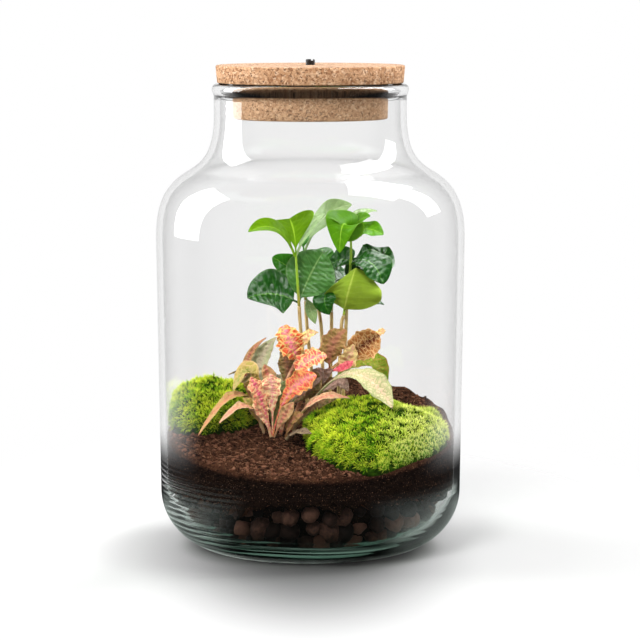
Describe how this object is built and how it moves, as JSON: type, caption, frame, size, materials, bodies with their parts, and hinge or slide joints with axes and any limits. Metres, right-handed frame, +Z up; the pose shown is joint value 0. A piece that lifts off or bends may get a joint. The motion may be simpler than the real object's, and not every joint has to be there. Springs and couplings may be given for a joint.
{
  "type": "glass plant terrarium",
  "caption": "Closed glass jar terrarium with a cork stopper, planted with coffee seedlings, a pink net-leaf plant and moss cushions on soil over clay granules.",
  "frame": {"origin": "centre of the jar's base, on the surface that the jar stands on", "axes": "+Z up; the picture's viewer looks along +Y, with +X to the right"},
  "size_m": [0.1894, 0.1894, 0.301],
  "materials": {
    "glass": "clear, with a faint green tint where it is thick",
    "cork": "matte agglomerated cork",
    "black_plastic": "satin black",
    "soil": "loose dark fibrous peat soil",
    "clay": "matte fired clay granules",
    "moss": "matte starry moss",
    "woody_stem": "matte bark",
    "coffee_leaf": "glossy leaf",
    "net_leaf": "satin crinkled leaf with pale veins",
    "net_leaf_green": "satin crinkled leaf with pale veins",
    "dry_leaf": "matte dry leaf"
  },
  "bodies": {
    "root": {"glass_jar": "glass", "glass_neck": "glass", "cork_lid": "cork", "lid_button": "black_plastic", "clay_granules": "clay", "soil": "soil", "moss_right": "moss", "moss_left": "moss", "moss_tuft": "moss", "coffee_1_stem": "woody_stem", "coffee_1_shoot": "coffee_leaf", "coffee_2_stem": "woody_stem", "coffee_2_shoot": "coffee_leaf", "coffee_3_stem": "woody_stem", "coffee_3_shoot": "coffee_leaf", "coffee_4_stem": "woody_stem", "coffee_4_shoot": "coffee_leaf", "coffee_5_stem": "woody_stem", "coffee_5_shoot": "coffee_leaf", "coffee_6_stem": "woody_stem", "coffee_6_shoot": "coffee_leaf", "net_leaf_left_low": "net_leaf", "net_leaf_left_high": "net_leaf_green", "net_leaf_back_left": "net_leaf_green", "net_leaf_top": "net_leaf", "net_leaf_heart": "net_leaf", "net_leaf_right_top": "net_leaf", "net_leaf_right": "net_leaf_green", "net_leaf_right_low": "net_leaf_green", "net_leaf_front": "net_leaf", "net_leaf_dry": "dry_leaf", "net_leaf_back": "net_leaf_green"}
  },
  "joints": []
}
